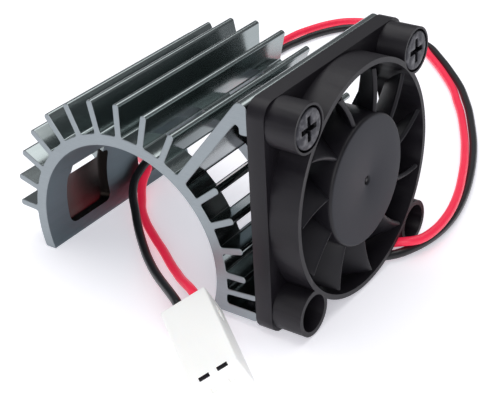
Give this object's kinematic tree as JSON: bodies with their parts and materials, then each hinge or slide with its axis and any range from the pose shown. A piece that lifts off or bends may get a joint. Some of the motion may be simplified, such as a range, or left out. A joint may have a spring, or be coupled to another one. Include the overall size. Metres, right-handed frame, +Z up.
{
  "type": "motor heat sink with fan",
  "caption": "Extruded aluminium arch with radial fins that clips over a small electric motor, with a square axial fan screwed to its side, a two-wire lead and a plug.",
  "frame": {"origin": "bottom centre of the heat sink and fan, without the cord", "axes": "+X out of the fan's open face, +Y along the extrusion, +Z up from the surface it stands on"},
  "size_m": [0.0699, 0.1364, 0.04],
  "materials": {
    "heat_sink": "dark grey anodised, fins cut bare at the ends",
    "fan_frame": "moulded black, satin",
    "impeller": "moulded black, satin",
    "rotor_yoke": "turned",
    "magnet_ring": "sintered, matte",
    "shaft": "ground",
    "retaining_clip": "spring steel",
    "front_bearing": "ground",
    "bearing_spacer": "turned",
    "rear_bearing": "ground",
    "stator_core": "stamped laminations",
    "winding_top": "enamelled copper wire",
    "winding_back": "enamelled copper wire",
    "winding_bottom": "enamelled copper wire",
    "winding_front": "enamelled copper wire",
    "circuit_board": "green board",
    "driver_chip": "moulded",
    "back_label": "blank sticker",
    "screw_top_front": "black coated",
    "screw_top_back": "black coated",
    "screw_bottom_front": "black coated",
    "screw_bottom_back": "black coated",
    "plug_housing": "natural white nylon",
    "contact_red": "plated",
    "contact_black": "plated",
    "lead_red": "soft red insulation",
    "lead_black": "soft black insulation"
  },
  "bodies": {
    "housing": {"heat_sink": "heat_sink", "fan_frame": "fan_frame", "front_bearing": "front_bearing", "bearing_spacer": "bearing_spacer", "rear_bearing": "rear_bearing", "stator_core": "stator_core", "winding_top": "winding_top", "winding_back": "winding_back", "winding_bottom": "winding_bottom", "winding_front": "winding_front", "circuit_board": "circuit_board", "driver_chip": "driver_chip", "back_label": "back_label", "screw_top_front": "screw_top_front", "screw_top_back": "screw_top_back", "screw_bottom_front": "screw_bottom_front", "screw_bottom_back": "screw_bottom_back", "plug_housing": "plug_housing", "contact_red": "contact_red", "contact_black": "contact_black", "lead_red": "lead_red", "lead_black": "lead_black"},
    "rotor": {"impeller": "impeller", "rotor_yoke": "rotor_yoke", "magnet_ring": "magnet_ring", "shaft": "shaft", "retaining_clip": "retaining_clip"}
  },
  "joints": [
    {"name": "fan_spin", "type": "hinge", "parent": "housing", "child": "rotor", "pos_m": [0.025, 0, 0.02], "axis": [1, 0, 0], "continuous": true}
  ]
}
